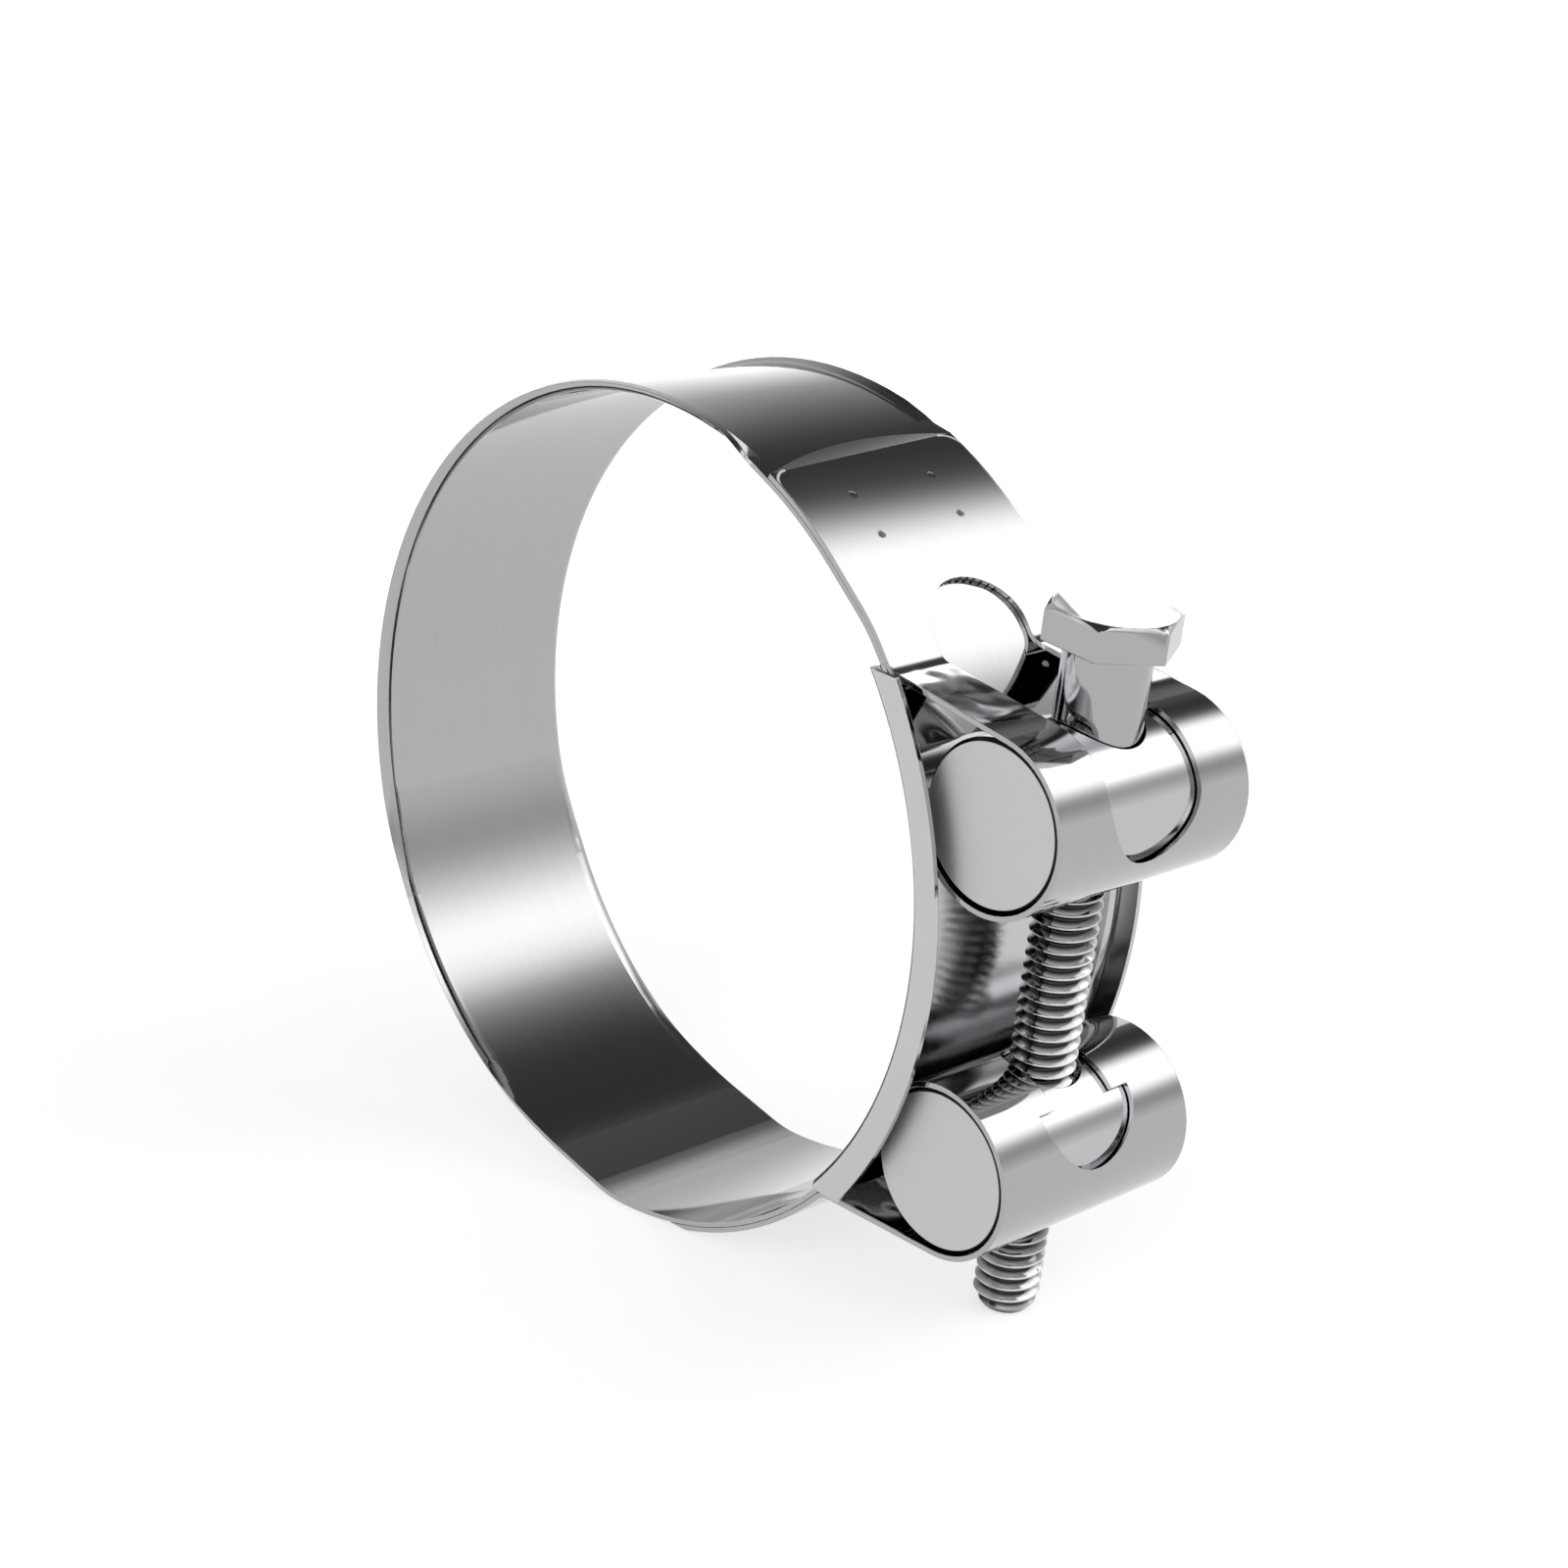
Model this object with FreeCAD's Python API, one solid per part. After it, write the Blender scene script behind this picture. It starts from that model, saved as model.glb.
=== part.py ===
import FreeCAD, Part
import math
import os
from FreeCAD import Vector

os.makedirs("parts", exist_ok=True)

# Heavy band clamp with one screw, for a hose or pipe of 83 mm outside diameter.
# One strip of stainless sheet is the ring. Both its ends are looped round a cross
# trunnion, folded back on the outside and spot welded. A hex head screw goes through
# the plain upper trunnion into the threaded lower one. A curved channel, the bridge,
# lies inside the ring under the gap, so that the hose is pressed all the way round.
#
# Y is the axis of the ring. Everything is drawn with X through the middle of the gap
# and Z along the screw, and at the end the whole clamp leans about Y until it stands
# on the bottom of the ring and the tip of the screw. Angles run from X towards Z.

# Ring and sheet, in millimetres
bore_radius = 41.5
band_width = 25.0
band_thickness = 0.5
layer_gap = 0.06

# Turned-up edges of the ring, where the strip is a single layer. Past the back of the
# ring they fall to a low lip, and the lip ends before the bottom.
edge_strip = 1.5
edge_turn = 70.0
edge_start_angle = 70.0
edge_full_angle = 80.0
edge_drop_angle = 197.0
edge_low_angle = 215.0
edge_low_share = 0.38
edge_fade_angle = 243.0
edge_end_angle = 259.0

# Curved borders that meet along one line are joined where they lie this near each other
join_tolerance = 0.0001

# Folded-back layer: where it ends, and the crease where it leaves the ring
overlap_angle = 69.5
overlap_corner = 2.0
overlap_bulge = 2.3
overlap_skew = 4.0
crease_angle = 39.4
crease_bend = 2.0

# Bridge
bridge_thickness = 0.5
bridge_half_angle = 38.4
bridge_shift_angle = 1.3
bridge_travel_angle = 1.5
bridge_flange_height = 3.4
bridge_flange_slope = 3.5
bridge_bend = 0.9
bridge_side_clearance = 1.1
bridge_seat_clearance = 0.05
pocket_end_clearance = 1.1
pocket_bend = 15.0

# The lower side of the ring stands off the true circle as far as its lowest point
lower_stand_off = 0.58
lower_step_angle = 82.0

# Trunnions
trunnion_radius = 7.8
trunnion_spacing = 34.4
trunnion_recess = 0.2
trunnion_chamfer = 0.35
loop_clearance = 0.15

# Screw, a quarter inch one with twenty threads to the inch
screw_radius = 3.175
screw_under_head = 67.5
screw_tail = 18.2
head_across_flats = 11.11
head_height = 3.3
head_chamfer_angle = 30.0
head_twist = -1.5
tip_flat_radius = 2.35
tip_chamfer_length = 1.2
nut_clearance = 0.05
nut_countersink = 0.6
nut_countersink_depth = 2.0
clear_hole_clearance = 0.3

# Sleeve between the head and the upper trunnion
sleeve_wall = 0.8
sleeve_bore_clearance = 0.1
sleeve_end_clearance = 0.05
sleeve_seat_height = 3.2
counterbore_clearance = 0.25

# Slots and holes that the screw needs in the loops
slot_half_width = 6.0
upper_slot_ring_angle = 40.2
upper_slot_front_angle = 25.0
lower_window_angle = 50.0
screw_hole_radius = 3.9

# Spot welds
weld_offset = 5.4
weld_angles = (56.6, 63.2)
weld_nugget_radius = 1.4
weld_mark_radius = 0.45
weld_mark_depth = 0.06

# Sizes that follow from the ones above
half_width = band_width / 2
half_sheet = band_thickness / 2
ring_middle = bore_radius + half_sheet
pocket_middle = bore_radius + bridge_thickness + bridge_seat_clearance + half_sheet
layer_step = band_thickness + layer_gap
loop_middle = trunnion_radius + loop_clearance + half_sheet
trunnion_distance = pocket_middle + loop_middle
half_spacing = trunnion_spacing / 2
trunnion_angle = math.degrees(math.asin(half_spacing / trunnion_distance))
screw_distance = trunnion_distance * math.cos(math.radians(trunnion_angle))
pocket_angle = bridge_half_angle + bridge_shift_angle + bridge_travel_angle + pocket_end_clearance
tip_height = -half_spacing - screw_tail
head_seat = tip_height + screw_under_head
turn_full = math.radians(edge_turn)
flat_half_width = half_width - edge_strip


def polar(radius, angle, centre=(0.0, 0.0)):
    turn = math.radians(angle)
    return (centre[0] + radius * math.cos(turn), centre[1] + radius * math.sin(turn))


class Route:
    """The middle line of bent sheet, made of arcs and straights that run into each other."""

    def __init__(self):
        self.pieces = []

    def arc(self, centre, radius, start, end):
        self.pieces.append(("arc", centre, radius, start, end))

    def straight(self, start, end):
        self.pieces.append(("straight", start, end))

    def side(self, offset, place):
        """Edges of the line that runs beside the route, to its left by the offset."""
        edges = []
        for piece in self.pieces:
            if piece[0] == "arc":
                kind, centre, radius, start, end = piece
                moved = radius - offset if end > start else radius + offset
                points = [polar(moved, start + (end - start) * share, centre) for share in (0, 0.5, 1)]
                a, b, c = [place(*point) for point in points]
                edges.append(Part.Arc(a, b, c).toShape())
            else:
                kind, start, end = piece
                run = (end[0] - start[0], end[1] - start[1])
                length = math.hypot(*run)
                shift = (-run[1] / length * offset, run[0] / length * offset)
                a = place(start[0] + shift[0], start[1] + shift[1])
                b = place(end[0] + shift[0], end[1] + shift[1])
                edges.append(Part.makeLine(a, b))
        return edges

    def face(self, thickness, place):
        left = self.side(thickness / 2, place)
        right = self.side(-thickness / 2, place)
        first_cap = Part.makeLine(left[0].Vertexes[0].Point, right[0].Vertexes[0].Point)
        last_cap = Part.makeLine(left[-1].Vertexes[-1].Point, right[-1].Vertexes[-1].Point)
        edges = left + [last_cap] + right + [first_cap]
        return Part.Face(Part.Wire(Part.__sortEdges__(edges)))


def strip(route, width):
    def in_side_view(across, up):
        return Vector(across, -width / 2, up)

    return route.face(band_thickness, in_side_view).extrude(Vector(0, width, 0))


def pocket(upper):
    """Centre, radius and end angle of the ring's arc over the bridge, drawn for the upper side."""
    if upper:
        return (0.0, 0.0), pocket_middle, pocket_angle
    return polar(-lower_stand_off, trunnion_angle), pocket_middle + lower_stand_off, lower_step_angle


def overlap_arc(upper):
    """Centre and middle radius of the inner layer where the folded-back one is welded to it."""
    if upper:
        return (0.0, 0.0), ring_middle
    centre, radius, end_angle = pocket(False)
    return centre, radius


def pocket_step(upper):
    """Where the pocket steps in to the true circle: bend centre and start of the straight."""
    centre, radius, end_angle = pocket(upper)
    bend = polar(radius - pocket_bend, end_angle, centre)
    facing = math.degrees(math.atan2(bend[1], bend[0]))
    sweep = math.degrees(math.acos((ring_middle - pocket_bend) / math.hypot(*bend)))
    return bend, facing + sweep


def loop_route(upper):
    """From the end of the folded-back layer, round the trunnion, and back under it."""
    route = Route()
    centre, radius, end_angle = pocket(upper)
    outer_middle = radius + layer_step
    layer_end = overlap_angle + 5
    if upper:
        bend, step_angle = pocket_step(True)
        on_ring = ring_middle + layer_step
        on_bend = pocket_bend + layer_step
        route.arc((0, 0), on_ring, layer_end, step_angle)
        route.straight(polar(on_ring, step_angle), polar(on_bend, step_angle, bend))
        route.arc(bend, on_bend, step_angle, end_angle)
        route.arc(centre, outer_middle, end_angle, crease_angle)
    else:
        route.arc(centre, outer_middle, layer_end, crease_angle)
    trunnion = (screw_distance, half_spacing)
    crease = polar(outer_middle + crease_bend, crease_angle, centre)
    away = (crease[0] - trunnion[0], crease[1] - trunnion[1])
    facing = math.degrees(math.atan2(away[1], away[0]))
    swing = math.degrees(math.acos((loop_middle + crease_bend) / math.hypot(*away)))
    leg_angle = facing - swing
    route.arc(crease, crease_bend, crease_angle + 180, leg_angle + 180)
    route.straight(polar(crease_bend, leg_angle + 180, crease), polar(loop_middle, leg_angle, trunnion))
    route.arc(trunnion, loop_middle, leg_angle, trunnion_angle - 180)
    return route


def under_route(upper):
    """The inner layer, from under the trunnion to where the turned-up edges begin."""
    route = Route()
    centre, radius, end_angle = pocket(upper)
    bend, step_angle = pocket_step(upper)
    last_angle = edge_start_angle if upper else 360 - edge_end_angle
    route.arc(centre, radius, trunnion_angle, end_angle)
    route.arc(bend, pocket_bend, end_angle, step_angle)
    route.straight(polar(pocket_bend, step_angle, bend), polar(ring_middle, step_angle))
    route.arc((0, 0), ring_middle, step_angle, last_angle)
    return route


def standing_cylinder(radius, centre, angle, near, far):
    """A cylinder in the side view's plane that leaves the centre at the angle, at the middle of the width."""
    start = polar(near, angle, centre)
    turn = math.radians(angle)
    return Part.makeCylinder(
        radius, far - near, Vector(start[0], 0, start[1]), Vector(math.cos(turn), 0, math.sin(turn)))


def prism(points, reach):
    corners = [Vector(x, -reach, z) for x, z in points]
    face = Part.Face(Part.makePolygon(corners + corners[:1]))
    return face.extrude(Vector(0, 2 * reach, 0))


def overlap_end_tool(upper):
    """What is cut off the outer layer: past its end line, and above the slope ground on its middle."""
    tangent = math.radians(overlap_angle + 90)
    radial = math.radians(overlap_angle)
    centre, radius = overlap_arc(upper)
    end = polar(radius + layer_step + half_sheet, overlap_angle, centre)
    base = Vector(end[0], 0, end[1])
    along = Vector(math.cos(tangent), 0, math.sin(tangent))
    up = Vector(math.cos(radial), 0, math.sin(radial))

    askew = math.tan(math.radians(overlap_skew))

    def plan(run, y):
        return base + along * (run + y * askew) + Vector(0, y, 0) - up * (band_thickness + layer_gap / 2)

    corner = overlap_corner
    lens = half_width - corner
    slant = corner * (1 - math.cos(math.pi / 4))
    edges = []
    edges.append(Part.makeLine(plan(8, -half_width - 1), plan(-corner, -half_width - 1)))
    edges.append(Part.makeLine(plan(-corner, -half_width - 1), plan(-corner, -half_width)))
    edges.append(Part.Arc(plan(-corner, -half_width), plan(-slant, -half_width + slant), plan(0, -lens)).toShape())
    edges.append(Part.Arc(plan(0, -lens), plan(overlap_bulge, 0), plan(0, lens)).toShape())
    edges.append(Part.Arc(plan(0, lens), plan(-slant, half_width - slant), plan(-corner, half_width)).toShape())
    edges.append(Part.makeLine(plan(-corner, half_width), plan(-corner, half_width + 1)))
    edges.append(Part.makeLine(plan(-corner, half_width + 1), plan(8, half_width + 1)))
    edges.append(Part.makeLine(plan(8, half_width + 1), plan(8, -half_width - 1)))
    beyond = Part.Face(Part.Wire(edges)).extrude(up * 2)

    slope_end = base + along * overlap_bulge - up * band_thickness
    far = base + (slope_end - base) * 5
    top = [base, far, far + up * 6, base + up * 6]
    across = Vector(0, half_width + 1, 0) + along * (half_width + 1) * askew
    wedge = Part.Face(Part.makePolygon([point - across for point in top + top[:1]]))
    ground = wedge.extrude(across * 2)
    return beyond, ground


def outer_part(upper):
    """One folded-back loop with its slots, drawn for the upper trunnion."""
    trunnion = (screw_distance, half_spacing)
    sheet = strip(loop_route(upper), band_width)
    for tool in overlap_end_tool(upper):
        sheet = sheet.cut(tool)
    far = 30.0
    if upper:
        front = standing_cylinder(slot_half_width, trunnion, upper_slot_front_angle, 0, far)
        ring_end = standing_cylinder(slot_half_width, (0, 0), upper_slot_ring_angle, bore_radius - 5, bore_radius + 9)
        between = prism([
            trunnion,
            polar(far, upper_slot_front_angle, trunnion),
            (screw_distance + far, half_spacing + far),
            polar(bore_radius + far, upper_slot_ring_angle),
            polar(bore_radius - 9, upper_slot_ring_angle),
        ], slot_half_width)
        sheet = sheet.cut(front).cut(ring_end).cut(between)
        return sheet.cut(standing_cylinder(screw_hole_radius, trunnion, -90, 0, far))
    window = standing_cylinder(slot_half_width, trunnion, -lower_window_angle, 0, far)
    window = window.common(prism([
        trunnion,
        polar(far, -lower_window_angle, trunnion),
        polar(2 * far, 45 - lower_window_angle, trunnion),
        polar(far, 90 - lower_window_angle, trunnion),
    ], slot_half_width))
    narrow = prism([
        trunnion,
        polar(far, -90, trunnion),
        polar(far, -lower_window_angle, trunnion),
    ], screw_hole_radius)
    sheet = sheet.cut(window).cut(narrow)
    for angle in (90, -90):
        sheet = sheet.cut(standing_cylinder(screw_hole_radius, trunnion, angle, 0, far))
    return sheet


def weld_places():
    turn = math.degrees(weld_offset * math.tan(math.radians(overlap_skew)) / ring_middle)
    return [(angle + side * turn, side * weld_offset) for angle in weld_angles for side in (-1, 1)]


def half_band(upper):
    """Everything of the strip on one side of the gap, up to the start of the turned-up edges."""
    layers = outer_part(upper).fuse(strip(under_route(upper), band_width))
    centre, radius = overlap_arc(upper)
    mark_floor = radius + layer_step + half_sheet - weld_mark_depth
    nuggets = []
    marks = []
    for angle, y in weld_places():
        turn = math.radians(angle)
        out = Vector(math.cos(turn), 0, math.sin(turn))
        axis = Vector(centre[0], y, centre[1])
        nuggets.append(Part.makeCylinder(weld_nugget_radius, layer_step, axis + out * radius, out))
        marks.append(Part.makeCylinder(weld_mark_radius, 1.0, axis + out * mark_floor, out))
    layers = layers.fuse(nuggets).cut(marks)
    if not upper:
        layers = layers.mirror(Vector(0, 0, 0), Vector(0, 0, 1))
    return layers


def border_section(angle, share, side):
    """Section of one border of the strip, turned up by a share of its full turn."""
    turn = turn_full * share
    turned = math.radians(angle)

    def edge_point(part, skin):
        bend = turn * part
        if turn > 0:
            y = flat_half_width + edge_strip / turn * math.sin(bend)
            rise = edge_strip / turn * (1 - math.cos(bend))
        else:
            y = flat_half_width + edge_strip * part
            rise = 0.0
        y -= skin * math.sin(bend)
        radius = ring_middle + rise + skin * math.cos(bend)
        return Vector(radius * math.cos(turned), side * y, radius * math.sin(turned))

    def curve(skin):
        line = Part.BSplineCurve()
        line.interpolate([edge_point(step / 4, skin) for step in range(5)])
        return line.toShape()

    def joint(part):
        return Part.makeLine(edge_point(part, -half_sheet), edge_point(part, half_sheet))

    return Part.Wire(Part.__sortEdges__([joint(0), curve(half_sheet), joint(1), curve(-half_sheet)]))


def changing_border(first_angle, last_angle, first_share, last_share, side):
    """A stretch where the edge rises or falls, gently at both its ends."""
    steps = 8
    sections = []
    for step in range(steps + 1):
        part = (1 - math.cos(math.pi * step / steps)) / 2
        smooth = part * part * (3 - 2 * part)
        share = first_share + (last_share - first_share) * smooth
        sections.append(border_section(first_angle + (last_angle - first_angle) * part, share, side))
    return Part.makeLoft(sections, True, False)


def even_border(first_angle, last_angle, share, side):
    section = Part.Face(border_section(first_angle, share, side))
    return section.revolve(Vector(0, 0, 0), Vector(0, -1, 0), last_angle - first_angle)


def ring_back():
    """The single layer round the back of the ring, and its borders with their turned-up edges."""
    route = Route()
    route.arc((0, 0), ring_middle, edge_start_angle, edge_end_angle)
    borders = []
    for side in (-1, 1):
        borders.append(changing_border(edge_start_angle, edge_full_angle, 0.0, 1.0, side))
        borders.append(even_border(edge_full_angle, edge_drop_angle, 1.0, side))
        borders.append(changing_border(edge_drop_angle, edge_low_angle, 1.0, edge_low_share, side))
        borders.append(even_border(edge_low_angle, edge_fade_angle, edge_low_share, side))
        borders.append(changing_border(edge_fade_angle, edge_end_angle, edge_low_share, 0.0, side))
    return strip(route, 2 * flat_half_width).fuse(borders, join_tolerance)


def band():
    return half_band(True).fuse([half_band(False), ring_back()]).removeSplitter()


def bridge():
    """Curved channel with both sides turned outward and their ends sloped."""
    wall = half_width + bridge_side_clearance + bridge_thickness / 2
    floor = bore_radius + bridge_thickness / 2
    bend = bridge_bend + bridge_thickness / 2
    top = bore_radius + bridge_flange_height
    start = math.radians(bridge_shift_angle - bridge_half_angle)
    route = Route()
    route.straight((-wall, top), (-wall, floor + bend))
    route.arc((-wall + bend, floor + bend), bend, 180, 270)
    route.straight((-wall + bend, floor), (wall - bend, floor))
    route.arc((wall - bend, floor + bend), bend, 270, 360)
    route.straight((wall, floor + bend), (wall, top))
    section = route.face(
        bridge_thickness, lambda y, radius: Vector(radius * math.cos(start), y, radius * math.sin(start)))
    channel = section.revolve(Vector(0, 0, 0), Vector(0, -1, 0), 2 * bridge_half_angle)
    low = bore_radius + bridge_thickness + 0.2
    high = top + 1
    for side in (1, -1):
        end = bridge_shift_angle + side * bridge_half_angle
        slope = prism([
            polar(low, end),
            polar(high, end - side * bridge_flange_slope),
            polar(high + 3, end + side * 2),
            polar(low, end + side * 2),
        ], band_width)
        channel = channel.cut(slope)
    return channel


def trunnion_body(side):
    length = band_width - 2 * trunnion_recess
    centre = Vector(screw_distance, -length / 2, side * half_spacing)
    pin = Part.makeCylinder(trunnion_radius, length, centre, Vector(0, 1, 0))
    rims = [edge for edge in pin.Edges if abs(edge.Length - 2 * math.pi * trunnion_radius) < 0.01]
    return pin.makeChamfer(trunnion_chamfer, rims)


def along_screw(radius, low, high):
    return Part.makeCylinder(radius, high - low, Vector(screw_distance, 0, low))


def upper_trunnion():
    seat = half_spacing + sleeve_seat_height
    sleeve_radius = screw_radius + sleeve_bore_clearance + sleeve_wall
    body = trunnion_body(1)
    body = body.cut(along_screw(screw_radius + clear_hole_clearance, 0, head_seat))
    return body.cut(along_screw(sleeve_radius + counterbore_clearance, seat, head_seat))


def lower_trunnion():
    bore = screw_radius + nut_clearance
    body = trunnion_body(-1).cut(along_screw(bore, tip_height, 0))
    for side in (1, -1):
        mouth = -half_spacing + side * trunnion_radius
        end = mouth - side * nut_countersink_depth
        cone = turned_about_screw([(0, mouth), (bore + nut_countersink, mouth), (bore, end), (0, end)])
        body = body.cut(cone)
    return body


def spacer_sleeve():
    low = half_spacing + sleeve_seat_height + sleeve_end_clearance
    high = head_seat - sleeve_end_clearance
    bore = screw_radius + sleeve_bore_clearance
    return along_screw(bore + sleeve_wall, low, high).cut(along_screw(bore, low - 1, high + 1))


def screw():
    flat = head_across_flats / 2
    corner = flat / math.cos(math.radians(30))
    drop = (corner - flat) * math.tan(math.radians(head_chamfer_angle))
    hexagon = []
    for number in range(7):
        x, y = polar(corner, 60 * number + head_twist, (screw_distance, 0))
        hexagon.append(Vector(x, y, head_seat))
    head = Part.Face(Part.makePolygon(hexagon)).extrude(Vector(0, 0, head_height))
    outline = [
        (0, head_seat - 1), (corner + 1, head_seat - 1), (corner + 1, head_seat + head_height - drop
         - math.tan(math.radians(head_chamfer_angle))),
        (flat, head_seat + head_height), (0, head_seat + head_height),
    ]
    head = head.common(turned_about_screw(outline))
    shank = turned_about_screw([
        (0, tip_height), (tip_flat_radius, tip_height), (screw_radius, tip_height + tip_chamfer_length),
        (screw_radius, head_seat), (0, head_seat),
    ])
    return head.fuse(shank).removeSplitter()


def turned_about_screw(outline):
    points = [Vector(screw_distance + radius, 0, height) for radius, height in outline]
    face = Part.Face(Part.makePolygon(points + points[:1]))
    return face.revolve(Vector(screw_distance, 0, 0), Vector(0, 0, 1), 360)


def lean_angle():
    """The turn about Y that brings the tip of the screw down to the level of the ring's lowest point."""
    centre, radius, end_angle = pocket(False)
    across = screw_distance + tip_flat_radius - centre[0]
    drop = -tip_height - centre[1]
    level = math.asin((radius + half_sheet) / math.hypot(across, drop))
    return math.degrees(level - math.atan2(drop, across))


pieces = {
    "band": band(),
    "bridge": bridge(),
    "upper_trunnion": upper_trunnion(),
    "lower_trunnion": lower_trunnion(),
    "spacer_sleeve": spacer_sleeve(),
    "screw": screw(),
}
for name, shape in pieces.items():
    shape = shape.copy()
    shape.rotate(Vector(0, 0, 0), Vector(0, 1, 0), lean_angle())
    shape.exportStep("parts/" + name + ".step")
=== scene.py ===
import math

import bmesh
import bpy
from mathutils import Matrix, Vector


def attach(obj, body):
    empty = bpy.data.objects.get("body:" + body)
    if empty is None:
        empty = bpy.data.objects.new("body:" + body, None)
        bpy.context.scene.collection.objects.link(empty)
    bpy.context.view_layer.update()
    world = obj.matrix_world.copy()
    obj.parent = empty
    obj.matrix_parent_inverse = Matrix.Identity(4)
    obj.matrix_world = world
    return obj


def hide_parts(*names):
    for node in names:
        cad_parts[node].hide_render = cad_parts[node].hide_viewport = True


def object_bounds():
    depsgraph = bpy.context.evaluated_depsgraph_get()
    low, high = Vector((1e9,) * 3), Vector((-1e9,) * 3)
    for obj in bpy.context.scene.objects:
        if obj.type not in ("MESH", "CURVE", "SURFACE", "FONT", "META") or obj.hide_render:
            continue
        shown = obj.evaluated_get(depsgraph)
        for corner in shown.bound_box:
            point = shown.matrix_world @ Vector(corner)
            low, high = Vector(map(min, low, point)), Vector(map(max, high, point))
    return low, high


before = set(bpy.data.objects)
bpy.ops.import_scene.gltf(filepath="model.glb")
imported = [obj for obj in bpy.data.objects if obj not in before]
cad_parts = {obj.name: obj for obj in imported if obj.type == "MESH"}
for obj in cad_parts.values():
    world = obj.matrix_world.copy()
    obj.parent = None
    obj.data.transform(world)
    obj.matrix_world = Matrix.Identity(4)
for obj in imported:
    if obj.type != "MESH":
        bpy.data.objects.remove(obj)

cad_low, cad_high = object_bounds()

MM = 0.001

# The screw's axis stands upright at this distance from the ring's axis, and the whole clamp leans about Y
LEAN = math.radians(9.117057)
SCREW_DISTANCE = 47.4806 * MM
SCREW_PLACE = Matrix.Rotation(LEAN, 4, "Y") @ Matrix.Translation((SCREW_DISTANCE, 0, 0))

# Heights along the screw, from the middle between the trunnions
TIP = -35.4 * MM
SHANK_START = 13.0 * MM
HEAD_TOP = 35.4 * MM

# Rolled thread, a quarter inch with twenty turns to the inch
PITCH = 1.27 * MM
CREST_RADIUS = 3.175 * MM
ROOT_RADIUS = 2.40 * MM
TIP_FLAT_RADIUS = 2.35 * MM
TIP_CHAMFER = 1.2 * MM
STEPS_PER_TURN = 56
# A tooth in section, as shares of the pitch: how far its foot rises from the root, and how far its top lies
# under the crest, in millimetres
TOOTH_FOOT = ((0.000, 0.000), (0.070, 0.015), (0.125, 0.075))
TOOTH_CREST = ((0.420, 0.070), (0.455, 0.012), (0.500, 0.000), (0.545, 0.012), (0.580, 0.070))

# The strip: half its width, the outside of its single layer, and the radius at which its runs are measured
HALF_WIDTH = 12.5 * MM
BAND_OUTSIDE = 42.0 * MM
RING_RADIUS = 42.5 * MM

# The folded-back layers: four spot welds lie round a middle point, and the end line lies askew
WELD_MIDDLE = math.radians(59.9)
WELD_HALF_STEP = math.radians(3.3)
WELD_OFFSET = 5.4 * MM
OVERLAP_END = math.radians(69.5)
OVERLAP_BULGE = 2.3 * MM
OVERLAP_BEND = 32.5 * MM
OVERLAP_CORNER = 2.0 * MM
SLOPE_LENGTH = 3.2 * MM
SKEW = math.tan(math.radians(4.0))

# The trunnions lie this far above and below the middle of the gap, with the loops round them
TRUNNION_HEIGHT = 17.2 * MM
TRUNNION_RADIUS = 7.8 * MM
TRUNNION_END = 12.3 * MM
LOOP_RADIUS = 8.45 * MM

# Brightness of the light tent by the turn about Y, in degrees from +X towards +Z, as the inside of the ring
# mirrors it and as its outside does, and the shares along Y between which the one gives way to the other
TENT_LEVEL = 2.8
TENT_INSIDE = (
    (0, 1.02), (9, 0.84), (20, 0.52), (33, 1.55), (44, 2.60), (56, 2.10), (66, 0.55), (78, 0.14), (90, 0.07),
    (112, 0.06), (119, 0.10), (129, 0.46), (139, 0.80), (152, 0.82), (164, 0.95), (180, 1.12), (205, 1.12),
    (222, 1.02), (360, 1.02),
)
TENT_OUTSIDE = (
    (0, 1.02), (9, 0.80), (20, 0.50), (30, 1.05), (40, 2.60), (52, 2.60), (63, 2.60), (75, 2.60), (86, 0.42),
    (96, 0.09), (112, 0.06), (124, 0.14), (136, 0.31), (149, 0.56), (158, 1.05), (169, 1.50), (180, 1.70),
    (205, 1.60), (222, 1.02), (360, 1.02),
)
TENT_CHANGE = (0.59, 0.68)

# A small card over the head: its middle, as a share of a full turn, how far from there it is gone and full,
# the shares along Y between which it begins, and its brightness
CARD_TURN = 143.0 / 360
CARD_FADE = (0.034, 0.018)
CARD_START = (0.695, 0.725)
CARD_BRIGHTNESS = 1.5

# Straight along Y, from these shares on, the tent is plain
PLAIN_START = (0.82, 0.97)

# The photograph's view, from the front right and a little above, with its lens for a 36 mm frame
CAMERA_AZIMUTH = math.radians(47.33)
CAMERA_ELEVATION = math.radians(16.08)
CAMERA_DISTANCE = 288.3 * MM
CAMERA_RIGHT = 6.85 * MM
CAMERA_UP = 0.31 * MM
CAMERA_LENS = 64.71


def colour(hex_value):
    """An sRGB hex colour as linear red, green, blue and alpha."""
    channels = [int(hex_value[i:i + 2], 16) / 255 for i in (1, 3, 5)]
    return tuple(c / 12.92 if c <= 0.04045 else ((c + 0.055) / 1.055) ** 2.4 for c in channels) + (1.0,)


def tent_grey(brightness):
    """A grey of the light tent, as a share of its level."""
    return (brightness / TENT_LEVEL,) * 3 + (1.0,)


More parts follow.
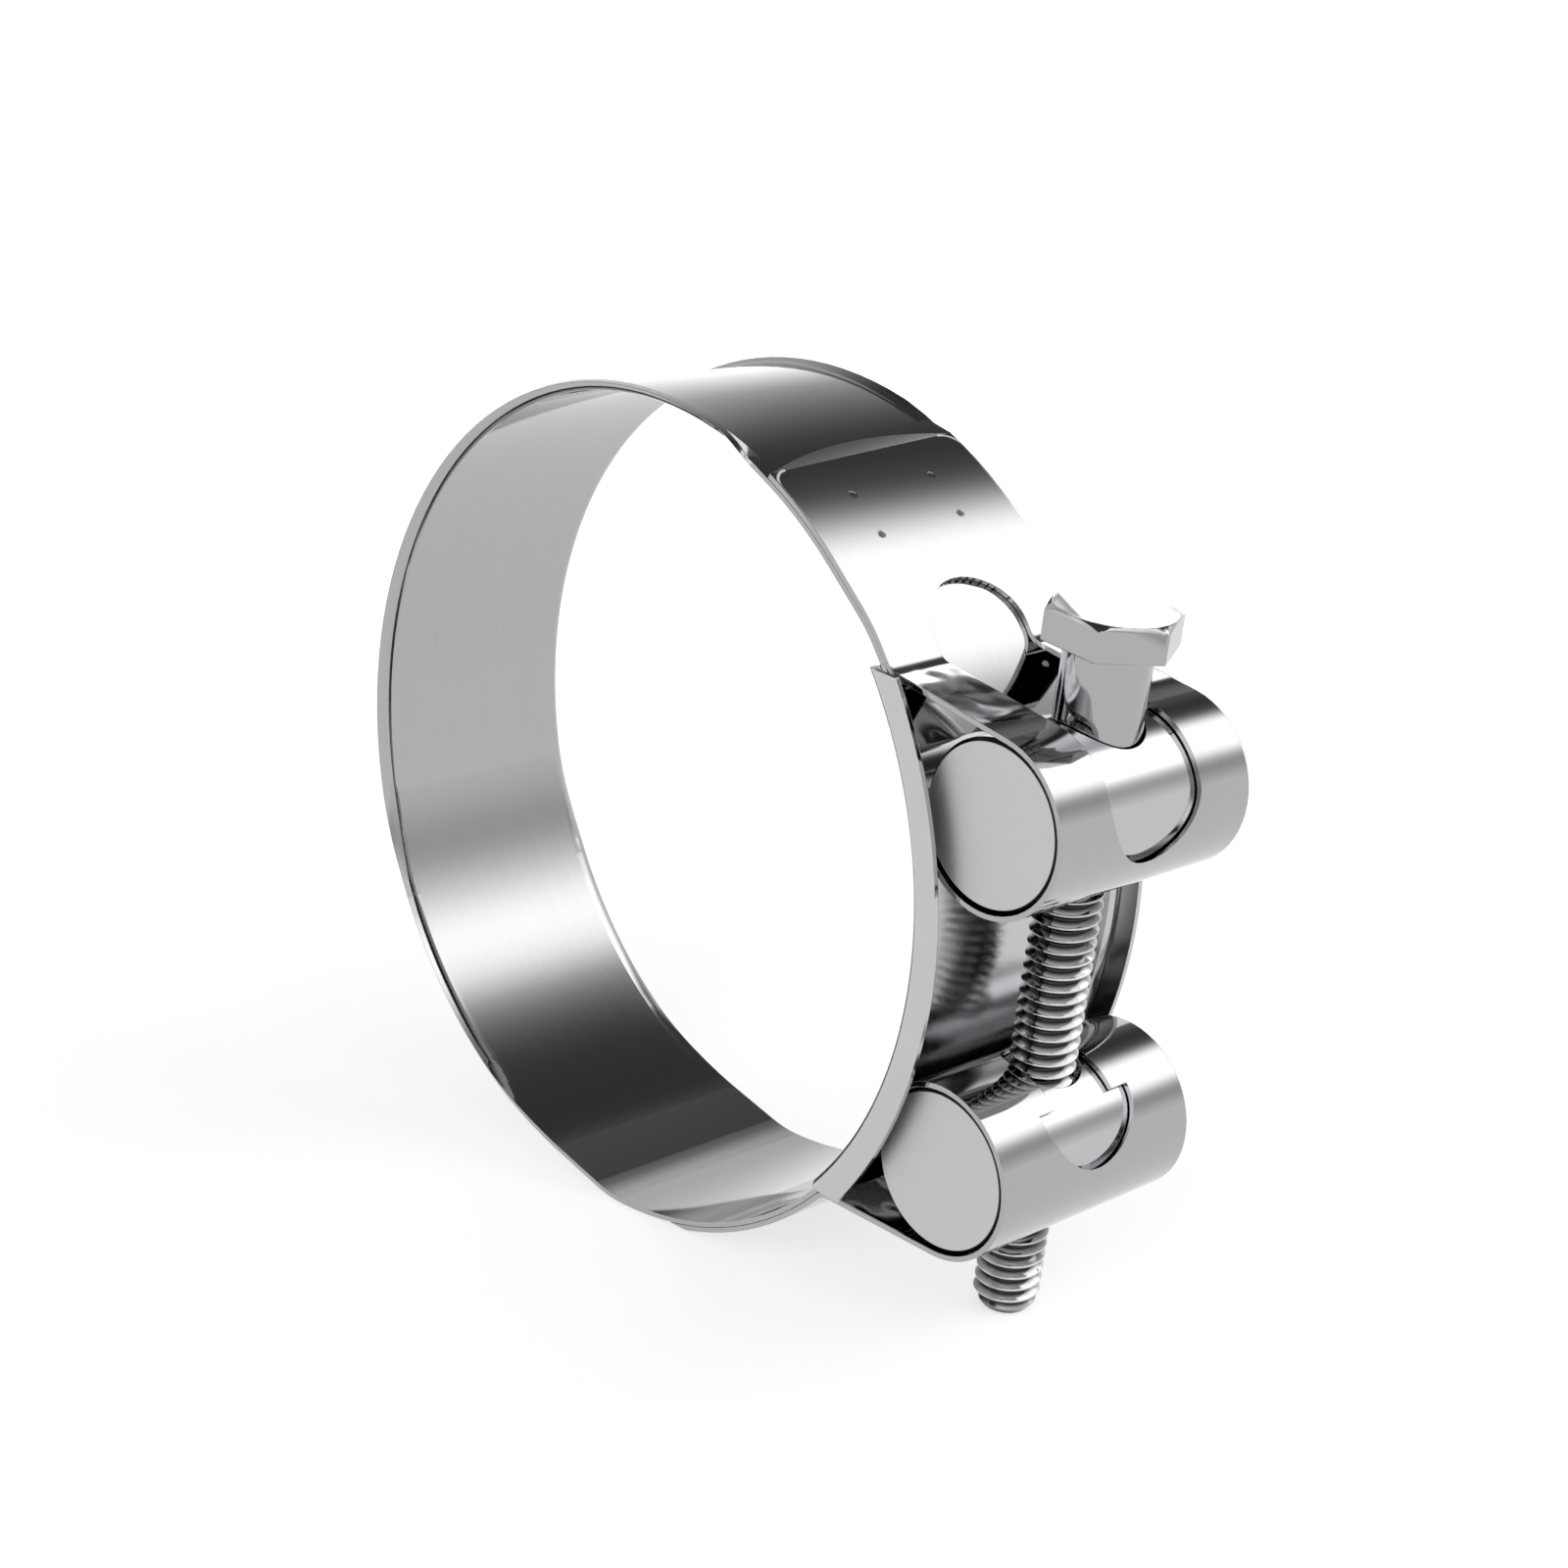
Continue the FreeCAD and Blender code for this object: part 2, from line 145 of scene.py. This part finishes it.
def add(tree, kind, inputs=None, stops=None, **settings):
    """Adds a node with its settings. An input is a constant or a node's output. Stops fill a colour ramp."""
    made = tree.nodes.new(kind)
    for name, value in settings.items():
        setattr(made, name, value)
    for name, value in (inputs or {}).items():
        if isinstance(value, bpy.types.NodeSocket):
            tree.links.new(value, made.inputs[name])
        else:
            made.inputs[name].default_value = value
    for number, (position, value) in enumerate(stops or []):
        ramp = made.color_ramp.elements
        stop = ramp[number] if number < len(ramp) else ramp.new(position)
        stop.position = position
        stop.color = value
    return made


def reckon(tree, operation, *terms):
    """Arithmetic with numbers, each a constant or a node's output."""
    return add(tree, "ShaderNodeMath", dict(enumerate(terms)), operation=operation).outputs["Value"]


def product(tree, first, *others):
    for other in others:
        first = reckon(tree, "MULTIPLY", first, other)
    return first


def vectors(tree, operation, *terms):
    """Arithmetic with vectors."""
    return add(tree, "ShaderNodeVectorMath", dict(enumerate(terms)), operation=operation).outputs["Vector"]


def length(tree, vector):
    return add(tree, "ShaderNodeVectorMath", {0: vector}, operation="LENGTH").outputs["Value"]


def reach(tree, run, side):
    """Distance from a centre on the sheet, by the run along the strip and the step to the side."""
    return length(tree, add(tree, "ShaderNodeCombineXYZ", {"X": run, "Y": side}).outputs["Vector"])


def fade(tree, value, low, high, start=0.0, end=1.0, kind="LINEAR"):
    """Goes from start to end while the value goes from low to high."""
    return add(tree, "ShaderNodeMapRange", {
        "Value": value, "From Min": low, "From Max": high, "To Min": start, "To Max": end},
        interpolation_type=kind).outputs["Result"]


def soft_fade(tree, value, low, high, start=0.0, end=1.0):
    return fade(tree, value, low, high, start, end, "SMOOTHSTEP")


def mix(tree, mask, first, second, kind="FLOAT"):
    """The first of two numbers, colours or vectors outside the mask, and the second inside it."""
    inputs = {"Factor": mask, "A": first, "B": second}
    return add(tree, "ShaderNodeMix", inputs, data_type=kind).outputs["Result"]


def tinted(tree, mask, first, second):
    return mix(tree, mask, first, second, "RGBA")


def noise(tree, place, scale, detail, roughness=0.5):
    return add(tree, "ShaderNodeTexNoise", {
        "Vector": place, "Scale": scale, "Detail": detail, "Roughness": roughness}).outputs["Fac"]


def streaks(tree, place, scales, detail, roughness=0.5):
    """Noise with its own scale along each axis, drawn out into lines along the axis of the smallest."""
    stretched = add(tree, "ShaderNodeMapping", {"Vector": place, "Scale": scales}).outputs["Vector"]
    return noise(tree, stretched, 1.0, detail, roughness)


def rounded_edges(tree, radius):
    return add(tree, "ShaderNodeBevel", {"Radius": radius}, samples=6).outputs["Normal"]


def bumped(tree, normal, height, depth):
    return add(tree, "ShaderNodeBump", {
        "Height": height, "Strength": 1.0, "Distance": depth, "Normal": normal}).outputs["Normal"]


def new_material(name):
    """A material without nodes, its tree, and the place on the piece."""
    material = bpy.data.materials.new(name)
    material.use_nodes = True
    tree = material.node_tree
    tree.nodes.clear()
    return material, tree, add(tree, "ShaderNodeTexCoord").outputs["Object"]


def bare_metal(tree, steel, rough, normal):
    shader = add(tree, "ShaderNodeBsdfPrincipled", {
        "Metallic": 1.0, "Roughness": rough, "Normal": normal, "Base Color": steel})
    add(tree, "ShaderNodeOutputMaterial", {"Surface": shader.outputs["BSDF"]})


def stood_upright(tree, place):
    """The place with the lean taken away, so that Z runs along the screw."""
    return add(tree, "ShaderNodeMapping", {"Vector": place, "Rotation": (0, -LEAN, 0)}).outputs["Vector"]


def from_trunnion(tree, place):
    """Distance from the axis of the nearer trunnion."""
    mirrored = vectors(tree, "ABSOLUTE", stood_upright(tree, place))
    off_axis = vectors(tree, "SUBTRACT", mirrored, (SCREW_DISTANCE, 0, TRUNNION_HEIGHT))
    return length(tree, vectors(tree, "MULTIPLY", off_axis, (1, 0, 1)))


def sheet_coordinates(tree, place):
    """The angle round the ring from the middle of the gap, the place across the strip, and the distance from
    the ring's axis."""
    upright = stood_upright(tree, place)
    axes = add(tree, "ShaderNodeSeparateXYZ", {"Vector": upright}).outputs
    angle = reckon(tree, "ARCTAN2", axes["Z"], axes["X"])
    radius = length(tree, vectors(tree, "MULTIPLY", upright, (1, 0, 1)))
    return angle, axes["Y"], radius


def ring_normal(tree, place, turn):
    """The normal of a smooth ring about Y, turned about that axis."""
    radial = vectors(tree, "NORMALIZE", vectors(tree, "MULTIPLY", place, (1, 0, 1)))
    turned = add(tree, "ShaderNodeVectorRotate", {"Vector": radial, "Angle": turn}, rotation_type="Y_AXIS")
    return add(tree, "ShaderNodeVectorTransform", {"Vector": turned.outputs["Vector"]},
               vector_type="NORMAL", convert_from="OBJECT", convert_to="WORLD").outputs["Vector"]


def strip_surface(tree, place, line_depth):
    """Rolling lines along the strip and a slight waviness from bending, with rounded cut edges."""
    # Rolling lines are a few hundredths of a millimetre apart, drawn about 0.25 mm apart so that they show
    lines = streaks(tree, place, (40, 4000, 40), 3.0, 0.6)
    # Bending leaves the strip wavy over about 14 mm, by a few thousandths of a millimetre
    waves = noise(tree, place, 70.0, 1.0)
    normal = rounded_edges(tree, 0.1 * MM)
    for height, depth in ((waves, 0.005 * MM), (lines, line_depth)):
        normal = bumped(tree, normal, height, depth)
    return lines, normal


def spot_welds(tree, angle, skewed, side):
    """The dots of the four spot welds, the same above and below the gap."""
    ring_angle = reckon(tree, "ADD", reckon(tree, "ABSOLUTE", angle), skewed)
    from_middle = reckon(tree, "ABSOLUTE", reckon(tree, "SUBTRACT", ring_angle, WELD_MIDDLE))
    run = reckon(tree, "MULTIPLY_ADD", from_middle, RING_RADIUS, -WELD_HALF_STEP * RING_RADIUS)
    off_weld = reach(tree, run, reckon(tree, "SUBTRACT", side, WELD_OFFSET))
    return soft_fade(tree, off_weld, 0.2 * MM, 0.55 * MM, 0.9, 0.0)


def past_layer_end(tree, angle, skewed):
    """How far a point lies past the straight line at which the folded-back layer starts to thin out."""
    past = reckon(tree, "ADD", reckon(tree, "ADD", angle, skewed), -OVERLAP_END)
    return reckon(tree, "MULTIPLY", past, RING_RADIUS)


def end_slope(tree, past, across, radius):
    """The slope on the end of the outer layer, and the crescent of it inside the bow of the layer's edge. The
    crescent is ground, and past the bow the slope is polished like the ring."""
    begun = reckon(tree, "GREATER_THAN", past, 0.0)
    unfinished = reckon(tree, "LESS_THAN", past, SLOPE_LENGTH)
    outer_layer = reckon(tree, "GREATER_THAN", radius, BAND_OUTSIDE + 0.03 * MM)
    slope = product(tree, begun, unfinished, outer_layer)
    from_centre = reach(tree, reckon(tree, "ADD", past, OVERLAP_BEND - OVERLAP_BULGE), across)
    off_bow = reckon(tree, "ADD", from_centre, -OVERLAP_BEND)
    return slope, product(tree, slope, reckon(tree, "LESS_THAN", off_bow, 0.0))


def corner_edge(tree, past, from_side):
    """The edge line of the outer layer's two round corners."""
    run_in = reckon(tree, "MAXIMUM", reckon(tree, "ADD", past, OVERLAP_CORNER), 0.0)
    side_in = reckon(tree, "SUBTRACT", OVERLAP_CORNER, from_side)
    in_corner = reckon(tree, "GREATER_THAN", side_in, 0.0)
    off_edge = reckon(tree, "ADD", reach(tree, run_in, side_in), -OVERLAP_CORNER)
    edge = fade(tree, reckon(tree, "ABSOLUTE", off_edge), 0.20 * MM, 0.10 * MM)
    return product(tree, edge, in_corner)


def band_steel():
    """Stainless strip, cold rolled and bright annealed. It is near a mirror and greyer than silver. The end
    of the folded-back layer is ground to a matt crescent, tinted pale as a painted highlight, each spot weld
    leaves a small dull dot, and the legs of the loops are uneven from bending and tinted paler as a painted
    sheen. The round corners of the layer carry a painted highlight along their edge."""
    material, tree, place = new_material("bright_annealed_stainless_strip")
    lines, normal = strip_surface(tree, place, 0.0004 * MM)
    angle, across, radius = sheet_coordinates(tree, place)
    skewed = product(tree, across, -SKEW / RING_RADIUS)
    side = reckon(tree, "ABSOLUTE", across)
    from_side = reckon(tree, "SUBTRACT", HALF_WIDTH, side)
    off_side = fade(tree, from_side, 0.05 * MM, 0.15 * MM)
    on_top = fade(tree, radius, BAND_OUTSIDE + 0.3 * MM, BAND_OUTSIDE + 0.4 * MM)

    dulled = spot_welds(tree, angle, skewed, side)
    past = past_layer_end(tree, angle, skewed)
    slope, ground_and_painted_highlight = end_slope(tree, past, across, radius)
    # The ground face is turned a little towards the gap, more so at the far side
    turn = fade(tree, across, -9 * MM, 9 * MM, math.radians(5.5), math.radians(9.5))
    turned = ring_normal(tree, place, product(tree, turn, ground_and_painted_highlight))

    # The arm runs on smoothly from the ring as far as its end, apart from its cut sides
    arm = soft_fade(tree, angle, math.radians(42), math.radians(46))
    arm = product(tree, arm, on_top, off_side)
    # The legs, between the ring and the round of the loops, curve out of the ring
    off_loop = soft_fade(tree, from_trunnion(tree, place), LOOP_RADIUS, LOOP_RADIUS + 1.2 * MM)
    off_ring = soft_fade(tree, radius, BAND_OUTSIDE + 1.0 * MM, BAND_OUTSIDE + 2.0 * MM)
    leg = product(tree, off_loop, off_ring, off_side)
    smooth = reckon(tree, "MAXIMUM", arm, slope)
    smooth = reckon(tree, "MAXIMUM", smooth, product(tree, leg, 0.85))
    normal = mix(tree, smooth, normal, turned, "VECTOR")
    # Bending dents the legs over about 4 mm
    dents = product(tree, noise(tree, place, 230.0, 1.0), leg)
    normal = bumped(tree, normal, dents, 0.35 * MM)

    # The layer's round corners get a painted highlight along their edge
    rim = product(tree, corner_edge(tree, past, from_side), on_top, arm)
    steel = tinted(tree, lines, colour("#A8A8AA"), colour("#AFAFB1"))
    rough = fade(tree, lines, 0.3, 0.7, 0.04, 0.07)
    # Painted light: the ground crescent and the corners' edge line are tinted near white as painted
    # highlights, and the legs paler as painted sheen; the weld dots keep their own dull colour
    for mask, tint, finish in (
            (ground_and_painted_highlight, "#D6D6D6", 0.16), (rim, "#F0F0F0", 0.6),
            (leg, "#BEBEC0", 0.14), (dulled, "#504E4B", 0.35)):
        steel = tinted(tree, mask, steel, colour(tint))
        rough = mix(tree, mask, rough, finish)
    bare_metal(tree, steel, rough, normal)
    return material


def bridge_steel():
    """The bridge's stainless strip, scuffed by sliding under the ring, so that it is duller and paler."""
    material, tree, place = new_material("scuffed_stainless_strip")
    lines, normal = strip_surface(tree, place, 0.0006 * MM)
    # Scuffs are about 5 mm across
    scuffs = noise(tree, place, 200.0, 5.0)
    steel = tinted(tree, lines, colour("#BDBDBF"), colour("#C5C5C7"))
    bare_metal(tree, steel, fade(tree, scuffs, 0.3, 0.7, 0.13, 0.24), normal)
    return material


def trunnion_steel():
    """Stainless bar, ground bright on its round side. The sawn and tumbled ends are paler and satin."""
    material, tree, place = new_material("ground_stainless_bar")
    # Grinding lines run round the bar, a few hundredths of a millimetre apart. They are drawn 0.25 mm apart
    # so that they show
    lines = streaks(tree, place, (120, 4000, 120), 2.0)
    # Tumbling leaves a fine grain of about 0.1 mm, drawn 0.3 mm so that it shows
    grain = noise(tree, place, 3300.0, 2.0)
    side = reckon(tree, "ABSOLUTE", add(tree, "ShaderNodeSeparateXYZ", {"Vector": place}).outputs["Y"])
    end = soft_fade(tree, side, TRUNNION_END - 0.2 * MM, TRUNNION_END - 0.05 * MM)
    normal = bumped(tree, rounded_edges(tree, 0.08 * MM), mix(tree, end, lines, grain), 0.0005 * MM)
    steel = tinted(tree, end, colour("#BBBBBD"), colour("#CBCBCC"))
    # Painted shade: the chamfer is tinted near black near the ends, in the gap to the loop, where shade falls
    chamfer_painted_shade = fade(
        tree, from_trunnion(tree, place), TRUNNION_RADIUS - 0.38 * MM, TRUNNION_RADIUS - 0.30 * MM)
    near_end = reckon(tree, "GREATER_THAN", side, TRUNNION_END - 0.5 * MM)
    steel = tinted(tree, product(tree, chamfer_painted_shade, near_end), steel, colour("#232221"))
    bright = fade(tree, lines, 0.3, 0.7, 0.06, 0.10)
    satin = fade(tree, grain, 0.3, 0.7, 0.50, 0.56)
    bare_metal(tree, steel, mix(tree, end, bright, satin), normal)
    return material


def sleeve_steel():
    """Drawn stainless tube, bright, with faint lines along its length."""
    material, tree, place = new_material("drawn_stainless_tube")
    # Die lines are hardly wider than a hair, drawn 0.3 mm apart so that they show
    lines = streaks(tree, stood_upright(tree, place), (3300, 3300, 120), 2.0)
    normal = bumped(tree, rounded_edges(tree, 0.06 * MM), lines, 0.0005 * MM)
    bare_metal(tree, colour("#AAAAAC"), fade(tree, lines, 0.3, 0.7, 0.06, 0.11), normal)
    return material


def screw_steel():
    """Stainless wire, cold headed and thread rolled. The thread's crests are tinted paler, a painted
    highlight, its roots near black, painted shade, and the flat top of the head is tinted near white, a
    painted highlight."""
    material, tree, place = new_material("cold_headed_stainless_screw")
    upright = stood_upright(tree, place)
    height = add(tree, "ShaderNodeSeparateXYZ", {"Vector": upright}).outputs["Z"]
    top = reckon(tree, "GREATER_THAN", height, HEAD_TOP - 0.02 * MM)
    # Grain of the heading die, about 0.2 mm, drawn at that size
    grain = noise(tree, place, 4200.0, 2.0)
    normal = bumped(tree, rounded_edges(tree, 0.2 * MM), grain, 0.0004 * MM)
    rough = mix(tree, top, fade(tree, grain, 0.3, 0.7, 0.06, 0.10), 0.1)
    off_axis = vectors(tree, "SUBTRACT", upright, (SCREW_DISTANCE, 0, 0))
    radius = length(tree, vectors(tree, "MULTIPLY", off_axis, (1, 1, 0)))
    threaded = reckon(tree, "LESS_THAN", height, SHANK_START)
    crest = fade(tree, radius, ROOT_RADIUS + 0.1 * MM, CREST_RADIUS - 0.15 * MM)
    root_painted_shade = product(tree, reckon(tree, "SUBTRACT", 1.0, crest), threaded)
    # Painted highlight and shade: the thread is tinted paler, its roots near black, and the head's top near
    # white
    steel = tinted(tree, threaded, colour("#ABABAD"), colour("#C8C8CA"))
    steel = tinted(tree, root_painted_shade, steel, colour("#3C3B3A"))
    steel = tinted(tree, top, steel, colour("#E6E6E6"))
    bare_metal(tree, steel, rough, normal)
    return material


def trim(bm, height, side):
    """Cuts everything off that lies past a level, above it for side 1 and below it for side -1."""
    bmesh.ops.bisect_plane(
        bm, geom=bm.verts[:] + bm.edges[:] + bm.faces[:], dist=1e-7,
        plane_co=(0, 0, height), plane_no=(0, 0, side), clear_outer=True)


def fill_cut(bm):
    """Closes the open rim that a straight cut has left."""
    rim = [edge for edge in bm.edges if edge.is_boundary]
    bmesh.ops.holes_fill(bm, edges=rim, sides=0)


def screw_head_and_shank():
    """The head and the plain part of the shank, upright, from the CAD solid."""
    bm = bmesh.new()
    bm.from_mesh(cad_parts["screw"].data)
    bmesh.ops.transform(bm, matrix=SCREW_PLACE.inverted(), verts=bm.verts)
    bmesh.ops.remove_doubles(bm, verts=bm.verts, dist=0.002 * MM)
    trim(bm, SHANK_START, -1)
    fill_cut(bm)
    bmesh.ops.dissolve_limit(bm, angle_limit=math.radians(0.5), verts=bm.verts, edges=bm.edges)
    return bm


def tooth_outline():
    """One turn of the thread in section, as shares of the pitch and radii, without the point shared with the
    next turn."""
    rise = [(share, ROOT_RADIUS + up * MM) for share, up in TOOTH_FOOT]
    crest = [(share, CREST_RADIUS - down * MM) for share, down in TOOTH_CREST]
    fall = [(1 - share, ROOT_RADIUS + up * MM) for share, up in reversed(TOOTH_FOOT[1:])]
    return rise + crest + fall


def rolled_thread():
    """The tooth spun up the screw as a right hand thread, cut flat at both ends and chamfered at the tip."""
    bm = bmesh.new()
    low = TIP - 2 * PITCH
    turns = math.ceil((SHANK_START - low) / PITCH) + 2
    outline = tooth_outline()
    points = [
        bm.verts.new((radius, 0, low + (turn + share) * PITCH))
        for turn in range(turns) for share, radius in outline]
    edges = [bm.edges.new(pair) for pair in zip(points, points[1:])]
    bmesh.ops.spin(
        bm, geom=points + edges, cent=(0, 0, 0), axis=(0, 0, 1), angle=math.tau,
        steps=STEPS_PER_TURN, dvec=(0, 0, PITCH / STEPS_PER_TURN))
    bmesh.ops.remove_doubles(bm, verts=bm.verts, dist=0.004 * MM)
    trim(bm, TIP, -1)
    trim(bm, SHANK_START, 1)
    fill_cut(bm)
    for vertex in bm.verts:
        most = TIP_FLAT_RADIUS + (vertex.co.z - TIP) * (CREST_RADIUS - TIP_FLAT_RADIUS) / TIP_CHAMFER
        radius = vertex.co.xy.length
        if radius > most:
            vertex.co.xy *= most / radius
    bmesh.ops.recalc_face_normals(bm, faces=bm.faces)
    return bm


def make_screw():
    mesh = bpy.data.meshes.new("hex_head_screw")
    head = screw_head_and_shank()
    head.to_mesh(mesh)
    head.free()
    thread = rolled_thread()
    thread.from_mesh(mesh)
    bmesh.ops.transform(thread, matrix=SCREW_PLACE, verts=thread.verts)
    thread.to_mesh(mesh)
    thread.free()
    # The chamfer of the head, at 30 degrees, stays crisp
    mesh.shade_smooth()
    mesh.set_sharp_from_angle(angle=math.radians(24))
    mesh.materials.append(screw_steel())
    piece = bpy.data.objects.new("hex_head_screw", mesh)
    bpy.context.scene.collection.objects.link(piece)
    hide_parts("screw")
    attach(piece, "screw")


def set_steels():
    trunnions = trunnion_steel()
    steels = {
        "band": band_steel(),
        "bridge": bridge_steel(),
        "upper_trunnion": trunnions,
        "lower_trunnion": trunnions,
        "spacer_sleeve": sleeve_steel(),
    }
    for node_name, steel in steels.items():
        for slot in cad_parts[node_name].material_slots:
            slot.material = steel


def studio_world():
    """A light tent with a bright panel and a dark one. Polished metal shows it as bands that follow the turn
    about Y."""
    world = bpy.data.worlds.new("light_tent")
    bpy.context.scene.world = world
    world.use_nodes = True
    tree = world.node_tree
    tree.nodes.clear()
    towards = add(tree, "ShaderNodeTexCoord").outputs["Generated"]
    axes = add(tree, "ShaderNodeSeparateXYZ", {"Vector": towards}).outputs
    side = reckon(tree, "ABSOLUTE", axes["Y"])
    turn = reckon(tree, "ARCTAN2", axes["Z"], axes["X"])
    share = reckon(tree, "FRACT", product(tree, turn, 1 / math.tau))
    bands = []
    for panels in (TENT_INSIDE, TENT_OUTSIDE):
        stops = [(angle / 360, tent_grey(brightness)) for angle, brightness in panels]
        ramp = add(tree, "ShaderNodeValToRGB", {"Fac": share}, stops=stops)
        ramp.color_ramp.interpolation = "B_SPLINE"
        bands.append(ramp.outputs["Color"])
    tent = tinted(tree, soft_fade(tree, side, *TENT_CHANGE), *bands)
    off_card = reckon(tree, "ABSOLUTE", reckon(tree, "SUBTRACT", share, CARD_TURN))
    card = product(tree, soft_fade(tree, off_card, *CARD_FADE), soft_fade(tree, side, *CARD_START))
    tent = tinted(tree, card, tent, tent_grey(CARD_BRIGHTNESS))
    tent = tinted(tree, soft_fade(tree, side, *PLAIN_START), tent, tent_grey(1))
    light = add(tree, "ShaderNodeBackground", {"Color": tent, "Strength": TENT_LEVEL})
    add(tree, "ShaderNodeOutputWorld", {"Surface": light.outputs["Background"]})


def floor_paper():
    """White paper that glows, more at the far left and behind: a painted pool of light. The camera and the
    metal see it white, apart from the shadow.
    """
    material, tree, place = new_material("white_paper")
    path = add(tree, "ShaderNodeLightPath").outputs
    seen = reckon(tree, "MAXIMUM", path["Is Camera Ray"], path["Is Glossy Ray"])
    seen = reckon(tree, "MAXIMUM", seen, path["Is Transmission Ray"])
    axes = add(tree, "ShaderNodeSeparateXYZ", {"Vector": place}).outputs
    left = fade(tree, axes["X"], -0.12, -0.40, 0.0, 0.55)
    behind = fade(tree, axes["Y"], 0.04, 0.16)
    level = reckon(tree, "MULTIPLY_ADD", left, behind, 0.66)
    matt = add(tree, "ShaderNodeBsdfDiffuse", {"Color": colour("#B4B4B4")}).outputs["BSDF"]
    glow = add(tree, "ShaderNodeEmission", {"Color": colour("#FFFFFF"), "Strength": level})
    paper = add(tree, "ShaderNodeAddShader", {0: matt, 1: glow.outputs["Emission"]}).outputs["Shader"]
    shader = add(tree, "ShaderNodeMixShader", {"Fac": seen, 1: matt, 2: paper}).outputs["Shader"]
    add(tree, "ShaderNodeOutputMaterial", {"Surface": shader})
    return material


def make_floor():
    """A wide sheet, a hair under the lowest point of the clamp."""
    bm = bmesh.new()
    bmesh.ops.create_grid(bm, x_segments=2, y_segments=2, size=20)
    bmesh.ops.translate(bm, vec=(0, 0, cad_low.z - 0.02 * MM), verts=bm.verts)
    mesh = bpy.data.meshes.new("floor")
    bm.to_mesh(mesh)
    bm.free()
    mesh.materials.append(floor_paper())
    floor = bpy.data.objects.new("floor", mesh)
    bpy.context.scene.collection.objects.link(floor)


def make_camera():
    level_share = math.cos(CAMERA_ELEVATION)
    back = Vector((
        math.sin(CAMERA_AZIMUTH) * level_share,
        -math.cos(CAMERA_AZIMUTH) * level_share,
        math.sin(CAMERA_ELEVATION)))
    right = Vector((math.cos(CAMERA_AZIMUTH), math.sin(CAMERA_AZIMUTH), 0))
    up = back.cross(right)
    data = bpy.data.cameras.new("camera")
    data.lens = CAMERA_LENS
    data.clip_start = 0.01
    camera = bpy.data.objects.new("camera", data)
    bpy.context.scene.collection.objects.link(camera)
    place = back * CAMERA_DISTANCE + right * CAMERA_RIGHT + up * CAMERA_UP
    camera.matrix_world = Matrix.Translation(place) @ Matrix((right, up, back)).transposed().to_4x4()
    bpy.context.scene.camera = camera


make_screw()
set_steels()
studio_world()
make_floor()
make_camera()
bpy.context.scene.view_settings.view_transform = "Standard"
